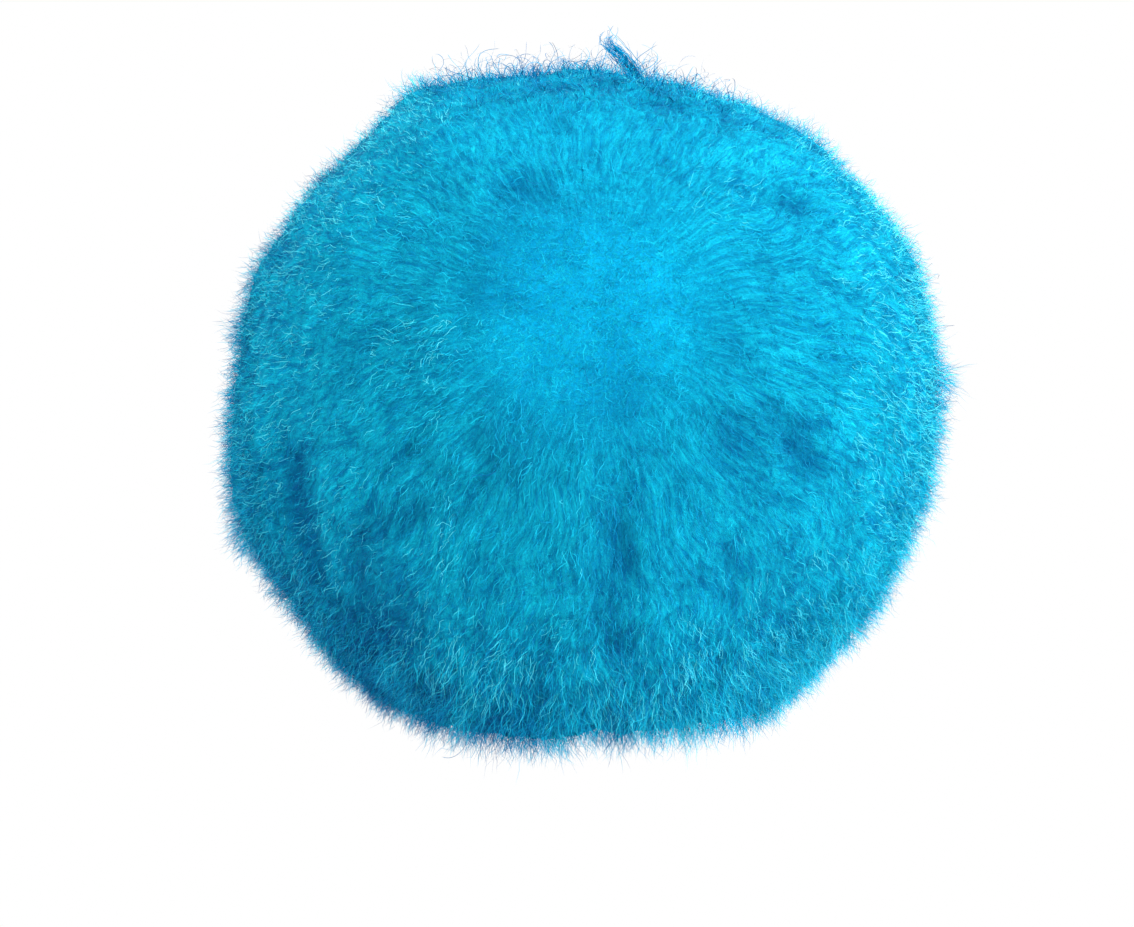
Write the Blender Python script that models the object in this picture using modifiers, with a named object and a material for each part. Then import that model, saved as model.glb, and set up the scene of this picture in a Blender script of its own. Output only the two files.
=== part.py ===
"""A large teased afro wig: curled hair all round a hollow stretch cap, which has an elastic band in its edge.

The wig is modelled in the form that it has when it is worn. The origin is the top of the cap's inner face.
The opening for the face is on the -Y side and +Z is up. Sizes are in metres, and angles in tables in degrees.
"""

import math
import random
from collections import namedtuple

import bmesh
import bpy
from mathutils import Vector

# Form that the cap fits over, an average adult head: an ellipsoid with a longer lower half
HEAD_HALF_WIDTH = 0.077
HEAD_HALF_DEPTH = 0.097
CROWN_RISE = 0.090
NAPE_FALL = 0.120

# Cap and the elastic band sewn inside its edge
CAP_WALL = 0.0020
BAND_WIDTH = 0.014
BAND_THICKNESS = 0.0015
BAND_GAP = 0.0003
HAIR_GAP = 0.0010

# Ball of hair: its three sizes, how far its centre lies below the cap's crown, and how far behind the
# middle of the cap
BALL_WIDTH = 0.384
BALL_HEIGHT = 0.366
BALL_DEPTH = 0.352
BALL_DROP = 0.054
BALL_SET_BACK = 0.022

# Locks of the outer surface: how far each stands out from between its neighbours, the share of it that
# lies inside the ball's outline, how far it droops and leans, and how much the locks differ
LOCK_LENGTH = 0.012
LOCK_ROOTED_SHARE = 0.60
LOCK_DROOP = 0.005
LOCK_LEAN = 0.006
LOCK_UNEVENNESS = 0.5
LOCK_SEED = 12

# Lip where the hair turns from its outer surface back to the cap's edge
LIP_FULLNESS_OUTSIDE = 0.034
LIP_FULLNESS_AT_CAP = 0.030

# Fineness of the meshes
CAP_COLUMNS = 48
CAP_ROWS = 13
BAND_ROWS = 2
LOCK_NET_LEVEL = 4

# The lock net is a closed sphere. Angles from its top where the outer surface turns to the lip, and the lip
# to the inner wall, and how far the locks are moved apart at the top towards an even spread
OUTER_ENDS_AT = 108.0
LIP_ENDS_AT = 133.0
LOCK_SPREAD = 0.6

# Half-section of the wig at each turn from the face round to the nape. cap_edge is where the cap ends,
# as an angle from the crown of the head form. hair_end is where the ball's surface turns into the lip,
# as an angle from the top of the ball. Both sides of the wig are alike.
Section = namedtuple("Section", "turn cap_edge hair_end")
SECTIONS = (
    Section(0, 70, 92),
    Section(25, 71, 96),
    Section(45, 79, 114),
    Section(60, 91, 133),
    Section(75, 101, 145),
    Section(90, 107, 150),
    Section(120, 114, 153),
    Section(150, 122, 154),
    Section(180, 127, 154),
)

# Outline seen from behind: at each clock angle, the share of the plain ellipse that the hair reaches
Outline = namedtuple("Outline", "clock reach")
OUTLINES = (
    Outline(0, 1.003),
    Outline(15, 0.985),
    Outline(24, 1.012),
    Outline(42, 1.025),
    Outline(60, 1.025),
    Outline(75, 1.006),
    Outline(90, 1.005),
    Outline(105, 1.008),
    Outline(120, 1.012),
    Outline(129, 1.040),
    Outline(137, 1.022),
    Outline(147, 1.050),
    Outline(156, 1.115),
    Outline(165, 1.135),
    Outline(180, 1.150),
    Outline(195, 1.165),
    Outline(207, 1.130),
    Outline(216, 1.090),
    Outline(225, 1.080),
    Outline(237, 1.065),
    Outline(249, 1.110),
    Outline(258, 1.055),
    Outline(270, 1.018),
    Outline(285, 1.010),
    Outline(292, 1.030),
    Outline(300, 1.003),
    Outline(311, 1.025),
    Outline(318, 1.003),
    Outline(324, 0.992),
    Outline(330, 1.085),
    Outline(342, 1.012),
)

# Shallow hollows where the teased hair parts, seen from behind: place and size as shares of the ball's
# half-sizes, and depth as a share of the half-width
Hollow = namedtuple("Hollow", "right rise back reach depth")
HOLLOWS = (
    Hollow(right=-0.78, rise=-0.22, back=0.58, reach=0.30, depth=0.045),
    Hollow(right=-0.30, rise=-0.48, back=0.82, reach=0.26, depth=0.050),
    Hollow(right=-0.52, rise=-0.80, back=0.30, reach=0.22, depth=0.040),
    Hollow(right=0.24, rise=-0.20, back=0.95, reach=0.24, depth=0.035),
    Hollow(right=0.55, rise=-0.62, back=0.56, reach=0.24, depth=0.040),
    Hollow(right=0.20, rise=-0.90, back=0.38, reach=0.22, depth=0.035),
    Hollow(right=-0.98, rise=-0.48, back=0.05, reach=0.20, depth=0.040),
    Hollow(right=0.60, rise=0.50, back=-0.62, reach=0.28, depth=0.035),
    Hollow(right=-0.55, rise=0.62, back=-0.56, reach=0.26, depth=0.035),
)

# Colours and roughness of the three pieces
HAIR_COLOUR = (0.004, 0.352, 0.610, 1.0)
HAIR_ROUGHNESS = 0.9
CAP_COLOUR = (0.006, 0.115, 0.230, 1.0)
CAP_ROUGHNESS = 0.85
BAND_COLOUR = (0.010, 0.050, 0.095, 1.0)
BAND_ROUGHNESS = 0.75

HEAD_CENTRE = Vector((0.0, 0.0, -CROWN_RISE))
BALL_CENTRE = Vector((0.0, BALL_SET_BACK, -BALL_DROP))


def through_rows(keys, values, key):
    """Value at key on a smooth curve through the rows, where keys run past both ends."""
    after = next(i for i in range(2, len(keys)) if keys[i] >= key or i == len(keys) - 2)
    before = after - 1
    span = keys[after] - keys[before]
    slope_before = (values[after] - values[before - 1]) / (keys[after] - keys[before - 1])
    slope_after = (values[after + 1] - values[before]) / (keys[after + 1] - keys[before])
    s = (key - keys[before]) / span
    return (
        (2 * s**3 - 3 * s**2 + 1) * values[before]
        + (s**3 - 2 * s**2 + s) * span * slope_before
        + (3 * s**2 - 2 * s**3) * values[after]
        + (s**3 - s**2) * span * slope_after
    )


def section_at(turn):
    """Cap edge and hair end, in radians, at a turn in radians to either side of the face."""
    rows = (
        SECTIONS[1]._replace(turn=-SECTIONS[1].turn),
        *SECTIONS,
        SECTIONS[-2]._replace(turn=360 - SECTIONS[-2].turn),
    )
    keys = [row.turn for row in rows]
    degrees = abs(math.degrees(turn))
    cap_edge = through_rows(keys, [row.cap_edge for row in rows], degrees)
    hair_end = through_rows(keys, [row.hair_end for row in rows], degrees)
    return math.radians(cap_edge), math.radians(hair_end)


def outline_reach(direction):
    """How far past the plain ellipsoid the hair reaches in a direction from the ball's centre."""
    rows = (
        OUTLINES[-1]._replace(clock=OUTLINES[-1].clock - 360),
        *OUTLINES,
        OUTLINES[0]._replace(clock=360),
        OUTLINES[1]._replace(clock=360 + OUTLINES[1].clock),
    )
    clock = math.degrees(math.atan2(-direction.x, direction.z)) % 360
    reach = through_rows([row.clock for row in rows], [row.reach for row in rows], clock)
    nearness_to_outline = 1.0 - direction.y**2
    return 1.0 + (reach - 1.0) * nearness_to_outline


def hollow_depth(direction):
    """Depth of the hollows in a direction from the ball's centre, in metres."""
    depth = 0.0
    for hollow in HOLLOWS:
        centre = Vector((-hollow.right, hollow.back, hollow.rise)).normalized()
        distance = (direction - centre).length / hollow.reach
        depth += hollow.depth * math.exp(-(distance**2))
    return depth * BALL_WIDTH / 2


def turned(turn, fall):
    """Unit direction at a turn from the face and a fall from straight up."""
    return Vector(
        (math.sin(turn) * math.sin(fall), -math.cos(turn) * math.sin(fall), math.cos(fall))
    )


def ball_point(turn, fall):
    """Point of the ball's surface between the locks, with its outline and hollows."""
    direction = turned(turn, fall)
    plain = Vector(
        (
            direction.x * BALL_WIDTH / 2,
            direction.y * BALL_DEPTH / 2,
            direction.z * BALL_HEIGHT / 2,
        )
    )
    inwards = hollow_depth(direction) + LOCK_LENGTH * LOCK_ROOTED_SHARE
    return BALL_CENTRE + plain * outline_reach(direction) - direction * inwards


def head_point(turn, fall, off=0.0):
    """Point at a distance off the head form, outwards if positive, with the outward normal there."""
    direction = turned(turn, fall)
    half_height = CROWN_RISE if direction.z > 0 else NAPE_FALL
    halves = (HEAD_HALF_WIDTH, HEAD_HALF_DEPTH, half_height)
    on_head = Vector([d * half for d, half in zip(direction, halves)])
    normal = Vector([d / half for d, half in zip(direction, halves)]).normalized()
    return HEAD_CENTRE + on_head + normal * off, normal


def lip_point(turn, share):
    """Point of the lip, from the ball's surface at share 0 to the cap's edge at share 1."""
    cap_edge, hair_end = section_at(turn)
    start = ball_point(turn, hair_end)
    step = math.radians(0.5)
    onwards = (start - ball_point(turn, hair_end - step)).normalized()
    end, normal = head_point(turn, cap_edge, CAP_WALL + HAIR_GAP)
    handles = (start, start + onwards * LIP_FULLNESS_OUTSIDE, end + normal * LIP_FULLNESS_AT_CAP, end)
    rest = 1.0 - share
    weights = (rest**3, 3 * rest**2 * share, 3 * rest * share**2, share**3)
    return sum((handle * weight for handle, weight in zip(handles, weights)), Vector())


def hair_skin(turn, polar):
    """Point of the hair's closed surface, and how much of a lock's length stands there."""
    cap_edge, hair_end = section_at(turn)
    outer_ends, lip_ends = math.radians(OUTER_ENDS_AT), math.radians(LIP_ENDS_AT)
    if polar <= outer_ends:
        area_share = (1.0 - math.cos(polar)) / (1.0 - math.cos(outer_ends))
        even_fall = math.acos(1.0 - area_share * (1.0 - math.cos(hair_end)))
        plain_fall = hair_end * polar / outer_ends
        return ball_point(turn, plain_fall + (even_fall - plain_fall) * LOCK_SPREAD), 1.0
    if polar <= lip_ends:
        share = (polar - outer_ends) / (lip_ends - outer_ends)
        return lip_point(turn, share), 1.0 - share
    inwards = (math.pi - polar) / (math.pi - lip_ends)
    return head_point(turn, cap_edge * inwards, CAP_WALL + HAIR_GAP)[0], 0.0


def root_under(turn, polar):
    """Point of the cap that the hair at this place of the outer surface grows from."""
    cap_edge, _ = section_at(turn)
    share = min(1.0, polar / math.radians(LIP_ENDS_AT))
    return head_point(turn, cap_edge * share, CAP_WALL)[0]


def add_object(name, bm, colour, roughness):
    """Object made from the bmesh, in the wig's collection, with its own material."""
    mesh = bpy.data.meshes.new(name)
    bm.to_mesh(mesh)
    bm.free()
    material = bpy.data.materials.new(name)
    material.use_nodes = True
    shader = material.node_tree.nodes["Principled BSDF"]
    shader.inputs["Base Color"].default_value = colour
    shader.inputs["Roughness"].default_value = roughness
    shader.inputs["Metallic"].default_value = 0.0
    mesh.materials.append(material)
    obj = bpy.data.objects.new(name, mesh)
    collection.objects.link(obj)
    return obj


def fall_of(point):
    """Angle from straight up to the direction of a point, in radians."""
    return math.acos(max(-1.0, min(1.0, point.normalized().z)))


def turn_of(point):
    """Angle from the face round to the direction of a point, in radians."""
    return math.atan2(point.x, -point.y)


def head_sheet(first_row, off):
    """Sheet over the head form from a row down to the cap's edge, made from the top half of a sphere."""
    bm = bmesh.new()
    bmesh.ops.create_uvsphere(bm, u_segments=CAP_COLUMNS, v_segments=2 * CAP_ROWS, radius=1.0)
    row_angle = math.pi / 2 / CAP_ROWS
    rows = {vert: round(fall_of(vert.co) / row_angle) for vert in bm.verts}
    outside = [vert for vert, row in rows.items() if not first_row <= row <= CAP_ROWS]
    bmesh.ops.delete(bm, geom=outside, context="VERTS")
    band_angle = 2 * BAND_WIDTH / (HEAD_HALF_WIDTH + HEAD_HALF_DEPTH)
    band_row = CAP_ROWS - BAND_ROWS
    for vert in bm.verts:
        turn = turn_of(vert.co)
        cap_edge, _ = section_at(turn)
        row = rows[vert]
        if row <= band_row:
            fall = (cap_edge - band_angle) * row / band_row
        else:
            fall = cap_edge - band_angle * (CAP_ROWS - row) / BAND_ROWS
        vert.co, _ = head_point(turn, fall, off)
    bmesh.ops.recalc_face_normals(bm, faces=bm.faces)
    bm.faces.ensure_lookup_table()
    face = bm.faces[0]
    if face.normal.dot(face.calc_center_median() - HEAD_CENTRE) < 0:
        bmesh.ops.reverse_faces(bm, faces=bm.faces)
    return bm


def thicken(obj, thickness, side):
    """Gives a sheet its thickness, outwards for side 1 and inwards for side -1."""
    solidify = obj.modifiers.new("thickness", "SOLIDIFY")
    solidify.thickness = thickness
    solidify.offset = side


def build_cap():
    """Stretch cap over the whole head form down to its edge."""
    cap = add_object("wig_cap", head_sheet(0, 0.0), CAP_COLOUR, CAP_ROUGHNESS)
    thicken(cap, CAP_WALL, 1)


def build_band():
    """Elastic band inside the cap's edge."""
    sheet = head_sheet(CAP_ROWS - BAND_ROWS, -BAND_GAP)
    band = add_object("elastic_edge_band", sheet, BAND_COLOUR, BAND_ROUGHNESS)
    thicken(band, BAND_THICKNESS, -1)


def stand_lock(point, turn, polar, stand, rng):
    """Moves a point of the hair's skin out to the tip of its lock."""
    growth = (point - root_under(turn, polar)).normalized()
    length = LOCK_LENGTH * stand * (1.0 + LOCK_UNEVENNESS * rng.uniform(-1.0, 1.0))
    lean = Vector([rng.uniform(-1.0, 1.0) for _ in range(3)]) * LOCK_LEAN * stand
    droop = Vector((0.0, 0.0, -LOCK_DROOP * stand * (1.0 - abs(growth.z))))
    return point + growth * length + lean + droop


def build_hair():
    """Hair from the cap out to the ball's surface, with a pointed lock fused on at each node of a net."""
    bm = bmesh.new()
    bmesh.ops.create_icosphere(bm, subdivisions=LOCK_NET_LEVEL, radius=1.0)
    lock_count = len(bm.verts)
    bmesh.ops.subdivide_edges(bm, edges=bm.edges, cuts=1, use_grid_fill=True)
    rng = random.Random(LOCK_SEED)
    for index, vert in enumerate(bm.verts):
        turn = turn_of(vert.co)
        polar = fall_of(vert.co)
        point, stand = hair_skin(turn, polar)
        if index < lock_count and stand > 0.0:
            point = stand_lock(point, turn, polar, stand, rng)
        vert.co = point
    bmesh.ops.triangulate(bm, faces=bm.faces)
    bmesh.ops.recalc_face_normals(bm, faces=bm.faces)
    add_object("afro_hair", bm, HAIR_COLOUR, HAIR_ROUGHNESS)


for old in list(bpy.data.objects):
    bpy.data.objects.remove(old)
collection = bpy.data.collections.new("afro_wig")
bpy.context.scene.collection.children.link(collection)

build_cap()
build_band()
build_hair()
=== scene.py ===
# %% [markdown]
# A big blue afro wig, seen from behind. The real thing is a stretch cap with thousands of crimped
# synthetic fibres stitched to it and teased out into a ball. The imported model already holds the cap, the
# elastic band in its edge and one solid for the mass of hair. This lesson loads it as a fixed frame,
# swaps the plain hair solid for a soft undercoat with loose fibres standing off it, and finishes the rest.

# %% Load the frame and keep its box
import math

import bmesh
import bpy
import numpy as np
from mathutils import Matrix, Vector, kdtree, noise


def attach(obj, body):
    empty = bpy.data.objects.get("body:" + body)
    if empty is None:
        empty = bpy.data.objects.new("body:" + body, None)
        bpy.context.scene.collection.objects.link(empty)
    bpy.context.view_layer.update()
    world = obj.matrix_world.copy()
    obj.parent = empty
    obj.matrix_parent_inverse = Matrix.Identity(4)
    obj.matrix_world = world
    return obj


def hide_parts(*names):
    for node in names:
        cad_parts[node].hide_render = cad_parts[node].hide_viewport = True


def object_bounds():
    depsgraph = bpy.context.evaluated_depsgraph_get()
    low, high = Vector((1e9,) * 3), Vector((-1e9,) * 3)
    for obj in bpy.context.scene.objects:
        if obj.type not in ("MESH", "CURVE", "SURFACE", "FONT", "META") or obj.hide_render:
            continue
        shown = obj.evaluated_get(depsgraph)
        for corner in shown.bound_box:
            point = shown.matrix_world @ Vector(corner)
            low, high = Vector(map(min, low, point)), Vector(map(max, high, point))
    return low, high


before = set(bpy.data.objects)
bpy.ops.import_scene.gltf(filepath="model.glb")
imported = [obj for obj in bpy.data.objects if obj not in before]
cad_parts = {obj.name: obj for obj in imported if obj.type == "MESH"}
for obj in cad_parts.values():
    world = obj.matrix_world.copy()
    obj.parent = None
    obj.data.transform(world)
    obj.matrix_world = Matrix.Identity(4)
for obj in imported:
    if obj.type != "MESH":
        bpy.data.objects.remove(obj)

MM = 0.001
cad_low, cad_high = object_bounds()
print("cad box, mm:", [round(side / MM) for side in cad_high - cad_low])

# %% [markdown]
# The photograph looks level at the back of the wig. A picture's scale is set by the lens and the distance:
# a long lens from a few paces flattens the ball as a studio portrait does. The real size of one pixel of
# the photograph at the middle of the ball gives the lens, and two of its pixels give the aim.

# %% Place the camera
PHOTO_WIDTH, PHOTO_HEIGHT = 1134, 927
PIXEL = 0.54 * MM
CROWN_PIXEL = (587, 301)
BALL_SET_BACK = 22 * MM
CAMERA_DISTANCE = 2.6
SENSOR_WIDTH = 36.0

camera_data = bpy.data.cameras.new("camera")
camera = bpy.data.objects.new("camera", camera_data)
bpy.context.scene.collection.objects.link(camera)
bpy.context.scene.camera = camera
camera_data.sensor_width = SENSOR_WIDTH
camera_data.lens = SENSOR_WIDTH * CAMERA_DISTANCE / (PHOTO_WIDTH * PIXEL)
aim_across = (CROWN_PIXEL[0] - PHOTO_WIDTH / 2) * PIXEL
aim_up = (CROWN_PIXEL[1] - PHOTO_HEIGHT / 2) * PIXEL
camera.location = (aim_across, BALL_SET_BACK + CAMERA_DISTANCE, aim_up)
camera.rotation_euler = (math.pi / 2, 0.0, math.pi)
print("lens, mm:", round(camera_data.lens, 1))

# %% [markdown]
# Studio light is a few big soft panels. Here the panel on the picture's right and above is the strongest,
# so the hair there is palest, and a weaker one above on the left keeps that side from going flat. An area
# light is used for each, because its size sets how soft the shadows are. The room is white, as a product
# picture's is, and gives more light from above than from below.

# %% Light the studio
SCENE_CENTRE = Vector((0.0, BALL_SET_BACK, -54 * MM))


def soft_panel(name, offset, size, watts):
    """Square area light at an offset from the wig, aimed at it."""
    data = bpy.data.lights.new(name, "AREA")
    data.size = size
    data.energy = watts
    panel = bpy.data.objects.new(name, data)
    bpy.context.scene.collection.objects.link(panel)
    panel.location = SCENE_CENTRE + Vector(offset)
    panel.rotation_euler = (-Vector(offset)).to_track_quat("-Z", "Y").to_euler()


soft_panel("key_right", (-2.2, 1.5, 1.2), 1.2, 108)
soft_panel("top_left", (1.6, 1.2, 1.7), 1.6, 40)
soft_panel("front_fill", (0.6, -2.2, 0.8), 1.8, 30)

print("soft panels:", len(bpy.data.lights))

# %% Light the room
ROOM_TINT = (0.93, 0.97, 1.0, 1.0)
LIGHT_BELOW, LIGHT_ABOVE = 0.60, 1.02
world = bpy.data.worlds.new("white_room")
bpy.context.scene.world = world
world.use_nodes = True
nodes, links = world.node_tree.nodes, world.node_tree.links
room_light = nodes["Background"]
room_light.inputs["Color"].default_value = ROOM_TINT
sky = nodes.new("ShaderNodeSeparateXYZ")
links.new(nodes.new("ShaderNodeTexCoord").outputs["Generated"], sky.inputs["Vector"])
brighter_above = nodes.new("ShaderNodeMapRange")
brighter_above.inputs["From Min"].default_value = -1.0
brighter_above.inputs["To Min"].default_value = LIGHT_BELOW
brighter_above.inputs["To Max"].default_value = LIGHT_ABOVE
links.new(sky.outputs["Z"], brighter_above.inputs["Value"])
links.new(brighter_above.outputs["Result"], room_light.inputs["Strength"])
seen_white = nodes.new("ShaderNodeBackground")
seen_white.inputs["Color"].default_value = (1.0, 1.0, 1.0, 1.0)
seen_white.inputs["Strength"].default_value = 1.0
ray = nodes.new("ShaderNodeLightPath")
choose = nodes.new("ShaderNodeMixShader")
links.new(ray.outputs["Is Camera Ray"], choose.inputs["Fac"])
links.new(room_light.outputs["Background"], choose.inputs[1])
links.new(seen_white.outputs["Background"], choose.inputs[2])
links.new(choose.outputs["Shader"], nodes["World Output"].inputs["Surface"])
bpy.context.scene.view_settings.view_transform = "Standard"

# %% [markdown]
# The wig is held up as a head would hold it, so the floor lies a little below and only catches a soft
# shadow. A pale disc that fades out towards its rim melts into the white room, so no horizon shows. The
# fade is a gradient in the disc's own coordinates, mixed between the pale finish and a clear one.

# %% Lay the floor
FLOOR_BELOW = 230 * MM
FLOOR_RADIUS = 1.1
FADE_STARTS, FADE_ENDS = 0.25, 0.95
bpy.ops.mesh.primitive_circle_add(vertices=96, radius=FLOOR_RADIUS, fill_type="NGON")
floor = bpy.context.object
floor.name = "floor"
floor.location = (0.0, 0.0, cad_low.z - FLOOR_BELOW)
floor_finish = bpy.data.materials.new("pale_floor")
floor_finish.use_nodes = True
nodes, links = floor_finish.node_tree.nodes, floor_finish.node_tree.links
pale = nodes["Principled BSDF"]
pale.inputs["Base Color"].default_value = (0.80, 0.80, 0.80, 1.0)
pale.inputs["Roughness"].default_value = 0.9
distance = nodes.new("ShaderNodeVectorMath")
distance.operation = "LENGTH"
links.new(nodes.new("ShaderNodeTexCoord").outputs["Object"], distance.inputs[0])
fade = nodes.new("ShaderNodeMapRange")
fade.interpolation_type = "SMOOTHSTEP"
fade.inputs["From Min"].default_value = FADE_STARTS * FLOOR_RADIUS
fade.inputs["From Max"].default_value = FADE_ENDS * FLOOR_RADIUS
links.new(distance.outputs["Value"], fade.inputs["Value"])
clear_rim = nodes.new("ShaderNodeMixShader")
links.new(fade.outputs["Result"], clear_rim.inputs["Fac"])
links.new(pale.outputs["BSDF"], clear_rim.inputs[1])
links.new(nodes.new("ShaderNodeBsdfTransparent").outputs["BSDF"], clear_rim.inputs[2])
links.new(clear_rim.outputs["Shader"], nodes["Material Output"].inputs["Surface"])
floor.data.materials.append(floor_finish)
print("floor below the wig, mm:", round(FLOOR_BELOW / MM))

# %% [markdown]
# All the hair shares one effect: it isn't one even blue. Teased hair opens into lighter tufts and closes
# into valleys, which are painted darker as painted shade. A node group holds that drift once, and each hair
# material places it. The valleys come in as a number stored on the mesh, and noise over the object adds
# what is smaller than a valley.

# %% Helpers for materials
def node_at(tree, kind, **values):
    """New node of a kind, with its inputs set by name."""
    node = tree.nodes.new(kind)
    for name, value in values.items():
        node.inputs[name.replace("_", " ")].default_value = value
    return node


def sum_of(tree, operation, *values):
    """Output of a math node. Each value is another output or a plain number."""
    node = tree.nodes.new("ShaderNodeMath")
    node.operation = operation
    for socket, value in zip(node.inputs, values):
        if isinstance(value, (int, float)):
            socket.default_value = value
        else:
            tree.links.new(value, socket)
    return node.outputs["Value"]


def colour_between(tree, mask, low, high):
    """Colour that runs from low to high with a mask. Each is an output or a plain colour."""
    mix = tree.nodes.new("ShaderNodeMix")
    mix.data_type = "RGBA"
    tree.links.new(mask, mix.inputs["Factor"])
    for socket, value in (("A", low), ("B", high)):
        if isinstance(value, tuple):
            mix.inputs[socket].default_value = (*value, 1.0)
        else:
            tree.links.new(value, mix.inputs[socket])
    return mix.outputs["Result"]


def times(tree, first, second):
    """Product of two colour outputs."""
    mix = tree.nodes.new("ShaderNodeMix")
    mix.data_type = "RGBA"
    mix.blend_type = "MULTIPLY"
    mix.inputs["Factor"].default_value = 1.0
    tree.links.new(first, mix.inputs["A"])
    tree.links.new(second, mix.inputs["B"])
    return mix.outputs["Result"]


def remapped(tree, value, low, high, to_low, to_high):
    """Output that takes a value from one range to another, with its ends held."""
    node = tree.nodes.new("ShaderNodeMapRange")
    node.inputs["From Min"].default_value = low
    node.inputs["From Max"].default_value = high
    node.inputs["To Min"].default_value = to_low
    node.inputs["To Max"].default_value = to_high
    tree.links.new(value, node.inputs["Value"])
    return node.outputs["Result"]


def ramp_through(tree, value, *stops):
    """Colour that passes through stops as a value goes from 0 to 1. Each stop is a place and a colour."""
    ramp = tree.nodes.new("ShaderNodeValToRGB")
    elements = ramp.color_ramp.elements
    for position, _ in stops[1:-1]:
        elements.new(position)
    for element, (_, colour) in zip(elements, stops):
        element.color = (*colour, 1.0)
    tree.links.new(value, ramp.inputs["Fac"])
    return ramp.outputs["Color"]


def stored(tree, name):
    """Number stored at the points of the mesh."""
    node = tree.nodes.new("ShaderNodeAttribute")
    node.attribute_name = name
    return node.outputs["Fac"]


def new_group(name, inputs, outputs):
    """Node group with named sockets: the group, its input node and its output node."""
    group = bpy.data.node_groups.new(name, "ShaderNodeTree")
    for label in inputs:
        kind = "NodeSocketVector" if label == "Place" else "NodeSocketFloat"
        group.interface.new_socket(label, in_out="INPUT", socket_type=kind)
    for label in outputs:
        group.interface.new_socket(label, in_out="OUTPUT", socket_type="NodeSocketFloat")
    return group, group.nodes.new("NodeGroupInput"), group.nodes.new("NodeGroupOutput")


def new_material(name, roughness, specular):
    """Material with a Principled shader, its plain sockets set."""
    material = bpy.data.materials.new(name)
    material.use_nodes = True
    shader = material.node_tree.nodes["Principled BSDF"]
    shader.inputs["Roughness"].default_value = roughness
    shader.inputs["Specular IOR Level"].default_value = specular
    shader.inputs["Metallic"].default_value = 0.0
    return material, material.node_tree, shader


# %% Group for the drift of tone over the hair
drift, given, made = new_group(
    "teased_tone_drift", ("Valley", "Patch Scale", "Fibre Scale"), ("Patch Tone With Valley Shade", "Fibre Tone")
)
place = drift.nodes.new("ShaderNodeTexCoord").outputs["Object"]
patches = node_at(drift, "ShaderNodeTexNoise", Detail=3.0, Roughness=0.55, Distortion=0.6)
wisps = node_at(drift, "ShaderNodeTexNoise", Detail=2.0, Roughness=0.6, Distortion=1.8)
for texture, scale in ((patches, "Patch Scale"), (wisps, "Fibre Scale")):
    drift.links.new(place, texture.inputs["Vector"])
    drift.links.new(given.outputs[scale], texture.inputs["Scale"])
patch_tone = remapped(drift, patches.outputs["Fac"], 0.34, 0.66, 0.70, 1.0)
# Painted shade: the patch tone falls to a quarter of itself at the bottom of a valley.
valley_painted_shade = remapped(drift, given.outputs["Valley"], 0.0, 1.0, 1.0, 0.25)
fibre_tone = remapped(drift, wisps.outputs["Fac"], 0.36, 0.64, 0.0, 1.0)
drift.links.new(sum_of(drift, "MULTIPLY", patch_tone, valley_painted_shade), made.inputs["Patch Tone With Valley Shade"])
drift.links.new(fibre_tone, made.inputs["Fibre Tone"])
print("drift group nodes:", len(drift.nodes))


def tone_drift(tree, patch_scale, fibre_scale):
    """The drift group placed in a material: its patch tone with painted valley shade, and its fibre tone.
    """
    group = tree.nodes.new("ShaderNodeGroup")
    group.node_tree = drift
    group.inputs["Patch Scale"].default_value = patch_scale
    group.inputs["Fibre Scale"].default_value = fibre_scale
    tree.links.new(stored(tree, "valley"), group.inputs["Valley"])
    return group.outputs["Patch Tone With Valley Shade"], group.outputs["Fibre Tone"]


# %% [markdown]
# Under the loose fibres lies a dense mat of crimped hair. From a pace away it reads as a matt blue felt
# full of fine kinks. Lines where a noise passes its middle value make thin curly threads at no cost in
# geometry: pale ones for the colour, and the same ones as a bump. In the calm middle of the back they curl
# every way. Elsewhere they follow the way the hair is combed, because the noise is read at places that are
# stored on the mesh, drawn out along the comb. The mat has next to no gloss, which would wash out the blue.

# %% Group for crimped threads
crimp, given, made = new_group("crimped_threads", ("Place", "Scale", "Thread Width"), ("Threads",))
level = node_at(crimp, "ShaderNodeTexNoise", Detail=1.5, Roughness=0.6, Distortion=1.2)
crimp.links.new(given.outputs["Place"], level.inputs["Vector"])
crimp.links.new(given.outputs["Scale"], level.inputs["Scale"])
from_middle = sum_of(crimp, "ABSOLUTE", sum_of(crimp, "SUBTRACT", level.outputs["Fac"], 0.5))
within = sum_of(crimp, "DIVIDE", from_middle, given.outputs["Thread Width"])
thread = sum_of(crimp, "SUBTRACT", 1.0, sum_of(crimp, "MINIMUM", within, 1.0))
crimp.links.new(thread, made.inputs["Threads"])
print("crimp group nodes:", len(crimp.nodes))


def crimped_threads(tree, where, scale, thread_width):
    """The crimp group placed in a material: 1 on thin curly lines and 0 between them."""
    group = tree.nodes.new("ShaderNodeGroup")
    group.node_tree = crimp
    tree.links.new(where, group.inputs["Place"])
    group.inputs["Scale"].default_value = scale
    group.inputs["Thread Width"].default_value = thread_width
    return group.outputs["Threads"]


# %% Undercoat material
HAIR_DEEP = (0.0006, 0.110, 0.300)
HAIR_MID = (0.0012, 0.435, 0.700)
HAIR_PALE = (0.0080, 0.670, 0.840)
HAIR_WISP = (0.1100, 0.860, 0.940)
WHITE = (1.0, 1.0, 1.0)
PATCH_SCALE, KINK_SCALE = 34.0, 420.0
STREAK_SCALE = 0.42
STREAKS_IN_CALM = 0.7
THREAD_COVER = 0.9

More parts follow.
